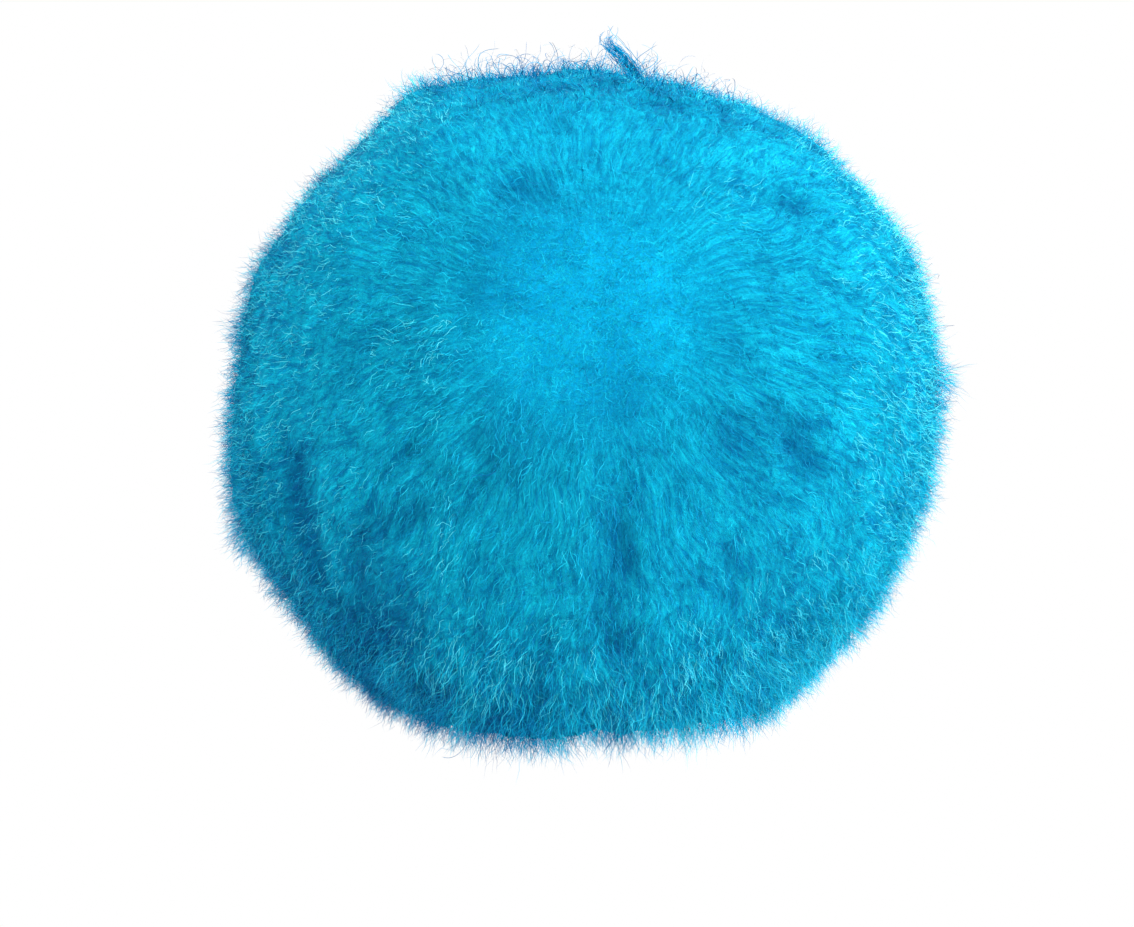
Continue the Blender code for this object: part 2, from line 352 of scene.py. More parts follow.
undercoat_finish, tree, shader = new_material("matted_hair", 0.9, 0.03)
patch_tone, fibre_tone = tone_drift(tree, PATCH_SCALE, KINK_SCALE)
# Painted shade: through the patch tone, the mat is darker in the valleys.
patch_colour = colour_between(tree, patch_tone, HAIR_DEEP, HAIR_MID)
everywhere = tree.nodes.new("ShaderNodeTexCoord").outputs["Object"]
combed_node = tree.nodes.new("ShaderNodeAttribute")
combed_node.attribute_name = "combed_place"
combed = combed_node.outputs["Vector"]
curly = sum_of(
    tree, "MAXIMUM",
    crimped_threads(tree, everywhere, 260.0, 0.030), crimped_threads(tree, everywhere, 400.0, 0.026),
)
drawn_out = sum_of(
    tree, "MAXIMUM", crimped_threads(tree, combed, 1.0, 0.070), crimped_threads(tree, combed, 1.8, 0.080)
)
calm = stored(tree, "calm")
moving = sum_of(tree, "SUBTRACT", 1.0, calm)
threads = sum_of(
    tree, "ADD", sum_of(tree, "MULTIPLY", curly, calm), sum_of(tree, "MULTIPLY", drawn_out, moving)
)

# %% Streaks of painted shade and threads over the undercoat
streak_noise = node_at(
    tree, "ShaderNodeTexNoise", Scale=STREAK_SCALE, Detail=2.0, Roughness=0.6, Distortion=0.5
)
tree.links.new(combed, streak_noise.inputs["Vector"])
streak_mask = remapped(tree, streak_noise.outputs["Fac"], 0.36, 0.62, 0.0, 1.0)
streaks = sum_of(tree, "MAXIMUM", streak_mask, sum_of(tree, "MULTIPLY", calm, STREAKS_IN_CALM))
# Painted shade: between the combed streaks the mat is darker, as in the gaps between clumps, and the calm
# place stays mostly light.
streak_painted_shade = colour_between(tree, streaks, (0.46, 0.56, 0.70), WHITE)
kink_colour = times(tree, colour_between(tree, fibre_tone, (0.60, 0.67, 0.74), WHITE), streak_painted_shade)
matted = times(tree, patch_colour, kink_colour)
thread_colour = times(tree, colour_between(tree, patch_tone, HAIR_DEEP, HAIR_PALE), streak_painted_shade)
thread_mask = remapped(tree, threads, 0.0, 1.0, 0.0, THREAD_COVER)
tree.links.new(colour_between(tree, thread_mask, matted, thread_colour), shader.inputs["Base Color"])
kinks = tree.nodes.new("ShaderNodeBump")
kinks.inputs["Strength"].default_value = 0.7
kinks.inputs["Distance"].default_value = 1.0 * MM
tree.links.new(threads, kinks.inputs["Height"])
tree.links.new(kinks.outputs["Normal"], shader.inputs["Normal"])
print("undercoat material nodes:", len(tree.nodes))

# %% [markdown]
# A single crimped fibre is a shiny thread, but thousands of them scatter the light so well that only a
# weak gloss is left. Each fibre has its own tone, stored on its mesh: most are mid blue, some pale, and a
# few nearly white, as where light shines through a wisp. It darkens towards its root, where the light
# hardly reaches.

# %% Fibre material
FIBRE_DEEP = (0.0006, 0.130, 0.340)
ROOT_SHADE, SHADE_ENDS = 0.55, 0.6

fibre_finish, tree, shader = new_material("crimped_fibre", 0.55, 0.06)
patch_tone, _ = tone_drift(tree, PATCH_SCALE, KINK_SCALE)
fibre_colour = ramp_through(
    tree, stored(tree, "fibre_tone"),
    (0.0, FIBRE_DEEP), (0.42, HAIR_MID), (0.74, HAIR_PALE), (1.0, HAIR_WISP),
)
# Painted shade: through the patch tone, fibres that grow in the valleys are darker.
patch_shade = colour_between(tree, patch_tone, (0.42, 0.58, 0.76), WHITE)
root_shade = remapped(tree, stored(tree, "along_fibre"), 0.0, SHADE_ENDS, ROOT_SHADE, 1.0)
root_colour = colour_between(tree, root_shade, (0.0, 0.0, 0.0), WHITE)
tinted = times(tree, times(tree, fibre_colour, patch_shade), root_colour)
tree.links.new(tinted, shader.inputs["Base Color"])
print("fibre material nodes:", len(tree.nodes))

# %% [markdown]
# Seen from behind, the hair fans out from one calm place in the middle of the back, as it falls when the
# wig is teased and shaken. Tufts and the valleys between them run along that fan like spokes. The fan is
# worked out once, in arrays: how far a point lies from the calm place, which way the fan runs there, and
# how deep a valley it lies in. The shape, the colour and the fibres all follow it. The clearest valleys and
# the palest tufts are listed, so that they lie where the photograph has them. Blender's noise of
# vectors starts from the clock unless it is given a seed, so it gets one, and each run grows the same wig.

# %% The fan of the hair
NOISE_SEED = 7
noise.seed_set(NOISE_SEED)
FAN_AXIS = np.array(Vector((0.0, 0.97, 0.25)).normalized())
SPOKES_AROUND, SPOKES_ALONG = 4.2, 2.6
FINER_SPOKES = 2.3
SPOKE_WANDER = 9.0
THREADS_AROUND, THREADS_ALONG = 95.0, 24.0
MEANDER_SIZE, MEANDER = 34 * MM, 0.07
LUMPY_PATCH = 32 * MM
VALLEY_STARTS, VALLEY_FULL = -0.05, 0.75
# Each deeper valley: degrees clockwise from the top as seen from behind, degrees from the calm place where
# it starts and ends, half its width in degrees around, and its depth. A deeper valley is pressed in further
# and painted darker, as painted shade.
MAIN_VALLEYS = (
    (250, 64, 98, 8, 0.4), (258, 42, 54, 5, 0.4), (228, 44, 64, 4, 0.8), (221, 60, 96, 10, 1.0),
    (238, 74, 100, 9, 0.8), (191, 70, 98, 6, 0.8), (180, 76, 98, 4, 0.6), (203, 76, 98, 8, 0.9),
    (150, 14, 42, 6, 0.3), (119, 40, 70, 4, 0.15), (140, 56, 80, 6, 0.5), (340, 8, 26, 14, 0.25),
    (274, 10, 24, 8, 0.3), (162, 44, 62, 4, 0.35), (266, 78, 100, 8, 0.5), (283, 82, 100, 8, 0.5),
    (210, 84, 106, 26, 0.9),
)
# Each pale tuft has the same columns, the last being its strength. It is a painted highlight, where wisps
# catch the light: it makes the fibres paler and the valleys shallower.
HIGHLIGHT_SPOKES = (
    (262, 14, 36, 12, 0.8), (240, 26, 38, 6, 0.6), (46, 24, 42, 14, 0.7), (85, 44, 78, 24, 0.6),
    (180, 20, 42, 8, 0.3), (216, 34, 50, 5, 0.7), (288, 44, 62, 12, 0.6), (64, 60, 90, 20, 0.5),
    (312, 40, 84, 16, 0.6),
)
print("valleys and pale tufts set by hand:", len(MAIN_VALLEYS), len(HIGHLIGHT_SPOKES))


# %% Helpers for arrays of points
def unit(vectors):
    """Vectors made one long."""
    return vectors / np.maximum(np.linalg.norm(vectors, axis=-1, keepdims=True), 1e-9)


def eased(values, low, high):
    """0 below low, 1 above high and a smooth step between."""
    t = np.clip((values - low) / (high - low), 0.0, 1.0)
    return t * t * (3.0 - 2.0 * t)


def noise_at(places):
    """Smooth noise at each of many places, about -0.6 to 0.6."""
    return np.array([noise.noise(Vector(place)) for place in places])


# %% Where a point lies in the fan
def fan_at(points):
    """For each point: degrees from the calm place, the direction around it, and the way the fan runs."""
    out = unit(points - np.array(SCENE_CENTRE))
    share = (out @ FAN_AXIS)[:, None]
    around = unit(out - share * FAN_AXIS)
    way = unit(around - out * (around * out).sum(axis=1, keepdims=True))
    return np.degrees(np.arccos(np.clip(share[:, 0], -1.0, 1.0))), around, way


def along_spokes(angle, around, spokes):
    """How much each point lies in any of some spokes, from 0 to 1."""
    upright = unit(np.array((0.0, 0.0, 1.0)) - FAN_AXIS * FAN_AXIS[2])
    clock = np.degrees(np.arctan2(-around[:, 0], around @ upright))
    wander = noise_at(around * 3.0 + FAN_AXIS * np.radians(angle)[:, None] * 5.0) * SPOKE_WANDER
    most = np.zeros(len(angle))
    for middle, starts, ends, half_width, depth in spokes:
        aside = np.abs((clock + wander - middle + 180) % 360 - 180)
        inside = 1.0 - eased(aside, 0.3 * half_width, 1.5 * half_width)
        inside = inside * eased(angle, starts - 10, starts + 12) * (1.0 - eased(angle, ends - 8, ends + 10))
        most = np.maximum(most, inside * depth)
    return most


# %% Valleys, pale tufts and combed threads
def valley_at(points):
    """How deep in a valley between tufts each point lies: 0 on a tuft, 1 at the bottom."""
    angle, around, _ = fan_at(points)
    spoke = around * SPOKES_AROUND + FAN_AXIS * (np.radians(angle) * SPOKES_ALONG)[:, None]
    height = noise_at(spoke) * 0.6 + noise_at(spoke * FINER_SPOKES + 7.0) * 0.6
    height = height * eased(angle, 12, 40) + noise_at(points / LUMPY_PATCH) * 0.35
    chosen = along_spokes(angle, around, MAIN_VALLEYS) - along_spokes(angle, around, HIGHLIGHT_SPOKES) * 0.5
    return np.clip(eased(height, VALLEY_STARTS, VALLEY_FULL) * 0.8 + chosen * 0.8, 0.0, 1.0)


def pale_at(points):
    """How much each point lies where wisps catch the light, from 0 to 1."""
    angle, around, _ = fan_at(points)
    return along_spokes(angle, around, HIGHLIGHT_SPOKES)


def combed_place(points):
    """Place of each point in a space where the threads' noise is drawn out along the fan."""
    angle, around, _ = fan_at(points)
    meander = np.array([noise.noise_vector(Vector(p) / MEANDER_SIZE) for p in points]) * MEANDER
    return (around + meander) * THREADS_AROUND + FAN_AXIS * (np.radians(angle) * THREADS_ALONG)[:, None]


# %% [markdown]
# The undercoat takes the form of the hair solid, locks and all. Its mesh is copied, welded, eased and
# subdivided, which turns the pointed locks into soft tufts. Where the fan runs over the back, it is eased
# some more, so that no hard ridge shows inside the outline. Valleys are then pressed in, and fine noise
# makes lumps between them. The wall that lies on the cap is left alone, so that the hair still clears it.

# %% Helpers for meshes
HEAD_HALVES = Vector((77 * MM, 97 * MM, 90 * MM))
HEAD_LOWER_HALF = 120 * MM


def off_the_cap(points):
    """Rough distance of points from the cap's outer surface, in metres."""
    lower = points[:, 2] < -HEAD_HALVES.z
    halves = np.tile(np.array(HEAD_HALVES), (len(points), 1))
    halves[lower, 2] = HEAD_LOWER_HALF
    from_centre = points + np.array((0.0, 0.0, HEAD_HALVES.z))
    share = np.linalg.norm(from_centre / halves, axis=1)
    return (share - 1.0) * np.linalg.norm(from_centre, axis=1) / np.maximum(share, 1e-6)


def numbers_of(collection, name, width):
    """Array of a property of each vertex, face or corner."""
    values = np.empty(len(collection) * width, np.float32)
    collection.foreach_get(name, values)
    return values.reshape(-1, width).astype(np.float64)


def store_numbers(mesh, name, values):
    """Stores one number at each point of a mesh, for its material to read."""
    layer = mesh.attributes.new(name, "FLOAT", "POINT")
    layer.data.foreach_set("value", np.asarray(values, np.float32))


# %% Copy a solid and make it softer
WELD = 0.01 * MM
EASED_BEYOND = 12 * MM
BACK_STARTS, BACK_ENDS = 30, 76
MORE_STEPS = 5


def welded_copy(node, name, ease_steps=0):
    """New object with a node's mesh, welded, and with its free points eased towards their neighbours."""
    bm = bmesh.new()
    bm.from_mesh(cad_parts[node].data)
    bmesh.ops.remove_doubles(bm, verts=bm.verts, dist=WELD)
    if ease_steps:
        clear = off_the_cap(np.array([vert.co for vert in bm.verts]))
        loose = [vert for vert, far in zip(bm.verts, clear) if far > EASED_BEYOND]
        angles, _, _ = fan_at(np.array([vert.co for vert in loose]))
        inner = [vert for vert, angle in zip(loose, angles) if BACK_STARTS < angle < BACK_ENDS]
        for chosen in [loose] * ease_steps + [inner] * MORE_STEPS:
            bmesh.ops.smooth_vert(
                bm, verts=chosen, factor=0.5, use_axis_x=True, use_axis_y=True, use_axis_z=True
            )
    mesh = bpy.data.meshes.new(name)
    bm.to_mesh(mesh)
    bm.free()
    obj = bpy.data.objects.new(name, mesh)
    bpy.context.scene.collection.objects.link(obj)
    return obj


def subdivided(obj, levels):
    """Applies a subdivision surface to the object's mesh."""
    modifier = obj.modifiers.new("rounding", "SUBSURF")
    modifier.levels = modifier.render_levels = levels
    bpy.context.view_layer.update()
    graph = bpy.context.evaluated_depsgraph_get()
    mesh = bpy.data.meshes.new_from_object(obj.evaluated_get(graph))
    obj.modifiers.clear()
    old, obj.data = obj.data, mesh
    bpy.data.meshes.remove(old)


# %% Undercoat mesh
VALLEY_DEPTH = 5.0 * MM
LUMP_SIZE, LUMP_DEPTH = 7.5 * MM, 2.6 * MM
SWELL = 0.6 * MM
SHAPED_FROM, SHAPED_AT = 6 * MM, 30 * MM
CALM_WITHIN, CALM_ENDS = 12, 34

undercoat = welded_copy("afro_hair", "hair_undercoat", ease_steps=2)
subdivided(undercoat, 1)
mesh = undercoat.data
points = numbers_of(mesh.vertices, "co", 3)
normals = numbers_of(mesh.vertex_normals, "vector", 3)
free = eased(off_the_cap(points), SHAPED_FROM, SHAPED_AT)
push = noise_at(points / LUMP_SIZE) * LUMP_DEPTH - valley_at(points) * VALLEY_DEPTH + SWELL
points += normals * (push * free)[:, None]
mesh.vertices.foreach_set("co", points.astype(np.float32).ravel())
store_numbers(mesh, "valley", valley_at(points) * free)
store_numbers(mesh, "calm", 1.0 - eased(fan_at(points)[0], CALM_WITHIN, CALM_ENDS))
combed_layer = mesh.attributes.new("combed_place", "FLOAT_VECTOR", "POINT")
combed_layer.data.foreach_set("vector", combed_place(points).astype(np.float32).ravel())
mesh.update()
mesh.shade_smooth()
mesh.materials.clear()
mesh.materials.append(undercoat_finish)
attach(undercoat, "root")
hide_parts("afro_hair")
print("undercoat faces:", len(mesh.polygons))

# %% [markdown]
# Each loose fibre is a hair-thin ribbon that leaves the undercoat, zigzags like a crimped thread and
# droops a little. Hair curves would be simpler, but a ribbon mesh also survives an export. Nearly a hundred
# thousand of them are worked out together in arrays, and joined in one mesh for each part of the wig. The
# numbers that the material reads are stored at their points. They stand closer together at the outline
# and along the lower edge, where they are all that softens the edge of the undercoat.

# %% Where the fibres grow
FIBRE_COUNT = 97000
FIBRE_SEED = 7
LEAST_CLEAR = 8 * MM
RIM_BELT = (66, 80, 98, 112)
MORE_AT_RIM, MORE_AT_LOWER_EDGE = 0.9, 1.2
rng = np.random.default_rng(FIBRE_SEED)


def scattered(mesh, count, favour=None):
    """Points spread at random over the part of a mesh that stands clear of the cap, with normals."""
    mesh.calc_loop_triangles()
    corners = numbers_of(mesh.loop_triangles, "vertices", 3).astype(int)
    where = numbers_of(mesh.vertices, "co", 3)
    smooth = numbers_of(mesh.vertex_normals, "vector", 3)
    edge_a = where[corners[:, 1]] - where[corners[:, 0]]
    edge_b = where[corners[:, 2]] - where[corners[:, 0]]
    middle = where[corners].mean(axis=1)
    weight = np.linalg.norm(np.cross(edge_a, edge_b), axis=1) * (off_the_cap(middle) > LEAST_CLEAR)
    if favour is not None:
        weight = weight * favour(middle)
    chosen = rng.choice(len(corners), count, p=weight / weight.sum())
    mix = rng.dirichlet((1.0, 1.0, 1.0), count)[:, :, None]
    roots = (where[corners[chosen]] * mix).sum(axis=1)
    return roots, unit((smooth[corners[chosen]] * mix).sum(axis=1))


def at_the_rim(places):
    """1 on the belt that makes the outline of the ball, seen from behind, and 0 away from it."""
    angle, _, _ = fan_at(places)
    starts, full, ends, over = RIM_BELT
    return eased(angle, starts, full) * (1.0 - eased(angle, ends, over))


def edges_first(places):
    """Weight of each place for a fibre: more at the outline and along the lower edge, which they soften."""
    fall = np.degrees(np.arccos(unit(places - np.array(SCENE_CENTRE))[:, 2]))
    return 1.0 + MORE_AT_LOWER_EDGE * eased(fall, 122, 138) + MORE_AT_RIM * at_the_rim(places)


roots, outward = scattered(undercoat.data, FIBRE_COUNT, edges_first)
print("fibre roots:", len(roots))

# %% [markdown]
# A fibre's heading is a sum of simple pulls: out from the surface, along the fan, with a slow swirl, down
# by its weight, and a little at random. Then neighbours cling together. Each fibre leans to the tip of the
# nearest of several thousand tufts, which gives the soft points and dark gaps of teased hair.

# %% How the fibres lie
COMB_WEIGHT = 1.0
SWIRL_SIZE, SWIRL_WEIGHT = 24 * MM, 0.85
STRAY_WEIGHT = 0.46
DROOP_WEIGHT = 0.12
LEAST_RISE, MOST_RISE = 0.14, 0.60


def growth(roots, outward):
    """Direction of each fibre."""
    angle, _, way = fan_at(roots)
    combed = eased(angle, 10, 38) * (1.0 - 1.5 * eased(angle, 62, 110))
    swirl = np.array([noise.noise_vector(Vector(p) / SWIRL_SIZE) for p in roots])
    lying = way * (combed * COMB_WEIGHT)[:, None] + swirl * SWIRL_WEIGHT
    lying += rng.normal(size=roots.shape) * STRAY_WEIGHT + np.array((0.0, 0.0, -DROOP_WEIGHT))
    lying -= outward * (lying * outward).sum(axis=1, keepdims=True)
    rise = rng.uniform(LEAST_RISE, MOST_RISE, len(roots)) * (1.0 + eased(angle, 58, 82))
    return unit(outward * rise[:, None] + lying)


headings = growth(roots, outward)
print("mean rise of the fibres:", round(float((headings * outward).sum(axis=1).mean()), 2))

# %% Gather the fibres in tufts
TUFT_COUNT = 9000
TUFT_PULL = 0.38
FIBRE_LENGTH = 8.0 * MM

tuft_roots, tuft_outward = scattered(undercoat.data, TUFT_COUNT)
tuft_tips = tuft_roots + growth(tuft_roots, tuft_outward) * FIBRE_LENGTH
tuft_tones = rng.beta(1.2, 2.4, TUFT_COUNT)
near = kdtree.KDTree(TUFT_COUNT)
for index, root in enumerate(tuft_roots):
    near.insert(root, index)
near.balance()
tuft = np.array([near.find(root)[1] for root in roots])
headings = unit(headings * (1.0 - TUFT_PULL) + unit(tuft_tips[tuft] - roots) * TUFT_PULL)
print("fibres in a tuft:", round(FIBRE_COUNT / TUFT_COUNT))

# %% [markdown]
# A fibre becomes a mesh in three steps. First comes its line: a straight way that bends, wound round by a
# loose spring and kinked at random. Then two rows of points, half its width to each side of the line, make
# a ribbon that faces away from the surface. Last, each ribbon gets a small square of the texture map.

# %% A map for the fibres and their faces
MAP_MARGIN = 0.18


def add_fibre_map(mesh, count, pattern, side, share):
    """Texture map that gives each fibre a small square of its own, for an export that bakes colours."""
    across = math.ceil(math.sqrt(count))
    fibre = np.arange(count)
    corner = np.stack((fibre % across, fibre // across), axis=1)[:, None, None]
    within = np.stack((side[pattern], share[pattern]), axis=-1)[None]
    places = (corner + MAP_MARGIN + within * (1.0 - 2 * MAP_MARGIN)) / across
    layer = mesh.uv_layers.new(name="OFBake")
    layer.data.foreach_set("uv", places.astype(np.float32).ravel())


def ribbon_faces(segments, count):
    """Triangles of one ribbon, and of all of them. A ribbon has pairs of points and one at its tip."""
    per = 2 * segments + 1
    steps = np.arange(segments - 1)[:, None] * 2
    tip = np.array(((per - 3, per - 2, per - 1),))
    pattern = np.concatenate((steps + np.array((0, 1, 3)), steps + np.array((0, 3, 2)), tip))
    return pattern, (pattern[None] + np.arange(count)[:, None, None] * per).reshape(-1, 3)


# %% Lines of the fibres
BEND, SAG = 0.22, 0.14
KINK = 0.8
CURLS_START = 2.5


def curled_lines(roots, headings, length, curl, turns, segments):
    """Points along each fibre: a straight way that bends, wound round by a spring and kinked at random."""
    t = np.linspace(0.0, 1.0, segments + 1)[None, :, None]
    aside = unit(np.cross(headings, rng.normal(size=headings.shape)))[:, None]
    across = np.cross(headings[:, None], aside)
    bend = rng.normal(size=headings.shape) * BEND + np.array((0.0, 0.0, -SAG))
    phase = rng.uniform(0.0, 2 * math.pi, (len(roots), 1, 1))
    angle = phase + turns[:, None, None] * 2 * math.pi * t
    spring = aside * (np.cos(angle) - np.cos(phase)) + across * (np.sin(angle) - np.sin(phase))
    kinks = rng.normal(size=(len(roots), segments + 1, 3)) * KINK
    line = roots[:, None] + (headings[:, None] * t + bend[:, None] * t**2) * length[:, None, None]
    return line + (spring + kinks) * curl[:, None, None] * np.minimum(1.0, CURLS_START * t)


# %% A mesh of ribbons
FACING_SPREAD = 0.45
TAPER = 0.55


def ribbons(name, line, width, tone, facing):
    """Mesh object of ribbons along lines. width, tone and the side that it faces differ by fibre."""
    count, segments = len(line), line.shape[1] - 1
    per = 2 * segments + 1
    t = np.linspace(0.0, 1.0, segments + 1)
    along = unit(np.gradient(line, axis=1))
    flat = unit(np.cross(along, unit(facing[:, None] + rng.normal(size=(count, 1, 3)) * FACING_SPREAD)))
    half = flat * (width[:, None] / 2 * (1.0 - TAPER * t))[:, :, None]
    pairs = np.stack(((line - half)[:, :-1], (line + half)[:, :-1]), axis=2)
    points = np.concatenate((pairs.reshape(count, 2 * segments, 3), line[:, -1:]), axis=1)
    pattern, faces = ribbon_faces(segments, count)
    mesh = bpy.data.meshes.new(name)
    mesh.vertices.add(count * per)
    mesh.vertices.foreach_set("co", points.astype(np.float32).ravel())
    mesh.loops.add(faces.size)
    mesh.loops.foreach_set("vertex_index", faces.astype(np.int32).ravel())
    mesh.polygons.add(len(faces))
    mesh.polygons.foreach_set("loop_start", np.arange(len(faces), dtype=np.int32) * 3)
    mesh.update(calc_edges=True)
    share = np.concatenate((np.repeat(t[:-1], 2), (1.0,)))
    store_numbers(mesh, "fibre_tone", np.repeat(tone, per))
    store_numbers(mesh, "along_fibre", np.tile(share, count))
    store_numbers(mesh, "valley", np.repeat(valley_at(line[:, 0]), per))
    side = np.concatenate((np.tile((0.0, 1.0), segments), (0.5,)))
    add_fibre_map(mesh, count, pattern, side, share)
    mesh.materials.append(fibre_finish)
    obj = bpy.data.objects.new(name, mesh)
    bpy.context.scene.collection.objects.link(obj)
    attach(obj, "root")
    print(name, "triangles:", len(faces))


# %% [markdown]
# The outline of teased hair isn't even: here and there a tuft stands out of it. Only the fibres in such a
# tuft are longer and stand up more, which costs nothing and leaves the undercoat as it is.

# %% Tufts that stand out of the outline
# Each tuft: degrees clockwise from the top as seen from behind, half its width in degrees, and its reach.
RIM_TUFTS = (
    (86, 2.2, 7 * MM), (154, 2.2, 2 * MM), (249, 2.0, 4 * MM), (282, 2.0, 3 * MM), (331, 2.0, 3 * MM),
)
RIM_DEPTH = 50 * MM
UPRIGHT_AT = 7 * MM


def rim_reach(points):
    """How much longer the fibres at each point are, because they stand in a tuft of the outline."""
    out = points - np.array(SCENE_CENTRE)
    clock = np.degrees(np.arctan2(-out[:, 0], out[:, 2]))
    reach = np.zeros(len(points))
    for middle, half_width, most in RIM_TUFTS:
        aside = np.abs((clock - middle + 180) % 360 - 180)
        reach = np.maximum(reach, most * (1.0 - eased(aside, 0.2 * half_width, 1.5 * half_width)))
    return reach * (1.0 - eased(np.abs(out[:, 1]), 0.3 * RIM_DEPTH, RIM_DEPTH))


longer = rim_reach(roots)
headings = unit(headings + outward * (longer / UPRIGHT_AT)[:, None])
print("fibres in such tufts:", int((longer > 0).sum()))

# %% Share the fibres out between the parts of the wig
CROWN_ENDS, UNDERSIDE_STARTS = 48, 118

seen_from_centre = unit(roots - np.array(SCENE_CENTRE))
turn = np.degrees(np.arctan2(seen_from_centre[:, 0], -seen_from_centre[:, 1]))
fall = np.degrees(np.arccos(seen_from_centre[:, 2]))
angle, _, _ = fan_at(roots)
middle_belt = (fall >= CROWN_ENDS) & (fall < UNDERSIDE_STARTS)
REGIONS = {
    "fibres_crown": fall < CROWN_ENDS,
    "fibres_back_left": middle_belt & (turn >= 90),
    "fibres_back_right": middle_belt & (turn < -90),
    "fibres_front_left": middle_belt & (turn >= 0) & (turn < 90),
    "fibres_front_right": middle_belt & (turn < 0) & (turn >= -90),
    "fibres_under_left": (fall >= UNDERSIDE_STARTS) & (turn >= 0),
    "fibres_under_right": (fall >= UNDERSIDE_STARTS) & (turn < 0),
}
print("parts of the wig:", len(REGIONS))

# %% [markdown]
# Each fibre has its own length, curl, tone and width. Near the cap they are short, at the nape long, and at
# the outline curlier. Tones are even in the calm place and differ more towards the outline, most of all on
# the picture's left, where pale wisps lie over dark hair. On its right, the light shines through the rim.

# %% Grow the fibres, one piece for each part of the wig
FIBRE_WIDTH, PALE_WIDENING = 0.28 * MM, 0.2
FIBRE_SEGMENTS = 5
CURL_RADIUS = 0.55 * MM
SUNK = 1.0 * MM
NAPE_LONGER = 4 * MM
RIM_LONGER, RIM_CURLIER = 0.25, 0.8
MEAN_TONE = 0.45
# Painted shade: how much darker a fibre rooted in a valley is made.
VALLEY_PAINTED_SHADE = 0.22

reach = 0.45 + 0.55 * eased(off_the_cap(roots), 10 * MM, 45 * MM)
rim = at_the_rim(roots)
length = FIBRE_LENGTH * reach * rng.uniform(0.6, 1.25, FIBRE_COUNT) * (1.0 + RIM_LONGER * rim) + longer
length += NAPE_LONGER * eased(fall, 128, 146) * eased(np.abs(turn), 95, 130) * reach
curl = CURL_RADIUS * rng.uniform(0.5, 1.5, FIBRE_COUNT) * (1.0 + RIM_CURLIER * rim)
turns = rng.uniform(0.9, 1.9, FIBRE_COUNT)
tone = tuft_tones[tuft] * 0.4 + rng.beta(0.68, 0.92, FIBRE_COUNT) * 0.78
leftward = eased(roots[:, 0], 10 * MM, 130 * MM)
rightward = eased(-roots[:, 0], -40 * MM, 120 * MM)
contrast = (0.65 + 0.95 * eased(angle, 36, 72)) * (1.0 - 0.35 * rim) * (1.0 + 0.4 * leftward)
# Painted light: fibres at the outline get a paler tone, most on the picture's right.
tone = (tone - MEAN_TONE) * contrast + MEAN_TONE + rim * (0.08 + 0.16 * rightward)
# Painted highlight: fibres in the pale tufts get a paler tone.
# Painted shade: fibres rooted in a valley get a darker tone.
tone = np.clip(tone * (0.85 + 0.6 * pale_at(roots)) - valley_at(roots) * VALLEY_PAINTED_SHADE, 0.0, 1.0)
width = FIBRE_WIDTH * rng.uniform(0.8, 1.2, FIBRE_COUNT) * (1.0 + PALE_WIDENING * eased(tone, 0.35, 0.9))
for name, chosen in REGIONS.items():
    starts = roots[chosen] - outward[chosen] * SUNK
    lines = curled_lines(
        starts, headings[chosen], length[chosen], curl[chosen], turns[chosen], FIBRE_SEGMENTS
    )
    ribbons(name, lines, width[chosen], tone[chosen], outward[chosen])

# %% [markdown]
# Long loose curls stand off the ball, most of them at the crown, where they tangle in open loops. They are
# the same ribbons with more segments, since a long curl shows its bends against the pale room. Each
# turns a little at every step, about an axis that wanders, as a crimped fibre that nothing holds does.

# %% Add the flyaway curls
FLYAWAY_COUNT = 1900
FLYAWAY_WIDTH = 0.40 * MM
FLYAWAY_SEGMENTS = 16
AXIS_WANDER = 0.3
FARTHEST_OUT = 18.5 * MM


def crown_first(places):
    """Weight of each place for a flyaway: most at the crown, a few elsewhere."""
    fall = np.degrees(np.arccos(unit(places - np.array(SCENE_CENTRE))[:, 2]))
    return 0.02 + 2.4 * (1.0 - eased(fall, 12, 38))


def many(low, high):
    """A random value for each flyaway curl."""
    return rng.uniform(low, high, FLYAWAY_COUNT)


def looped_lines(roots, headings, length, curve, segments):
    """Points along loose curls. curve is how far each turns in a metre, in radians."""
    axis = unit(rng.normal(size=headings.shape))
    step = (length / segments)[:, None]
    line, way = [roots], headings
    for _ in range(segments):
        axis = unit(axis + rng.normal(size=axis.shape) * AXIS_WANDER)
        way = unit(way + np.cross(axis, way) * curve[:, None] * step)
        line.append(line[-1] + way * step)
    return np.stack(line, axis=1)


roots, outward = scattered(undercoat.data, FLYAWAY_COUNT, crown_first)
lines = looped_lines(
    roots - outward * SUNK, unit(rng.normal(size=roots.shape) * 0.5 + outward * 0.7),
    many(14, 34) * MM, many(110, 380), FLYAWAY_SEGMENTS,
)
edge_low, edge_high = np.array(cad_low) - FARTHEST_OUT, np.array(cad_high) + FARTHEST_OUT
inside = np.all((lines > edge_low) & (lines < edge_high), axis=(1, 2))
print("flyaways inside the box:", int(inside.sum()))
ribbons(
    "fibres_flyaway", lines[inside], (FLYAWAY_WIDTH * many(0.6, 1.3))[inside],
    many(0.0, 0.4)[inside], outward[inside],
)

# %% [markdown]
# One thick tuft at the crown bends over like a hook. Its fibres follow one drawn path, spread a little
# round it, and bring their own small curls.

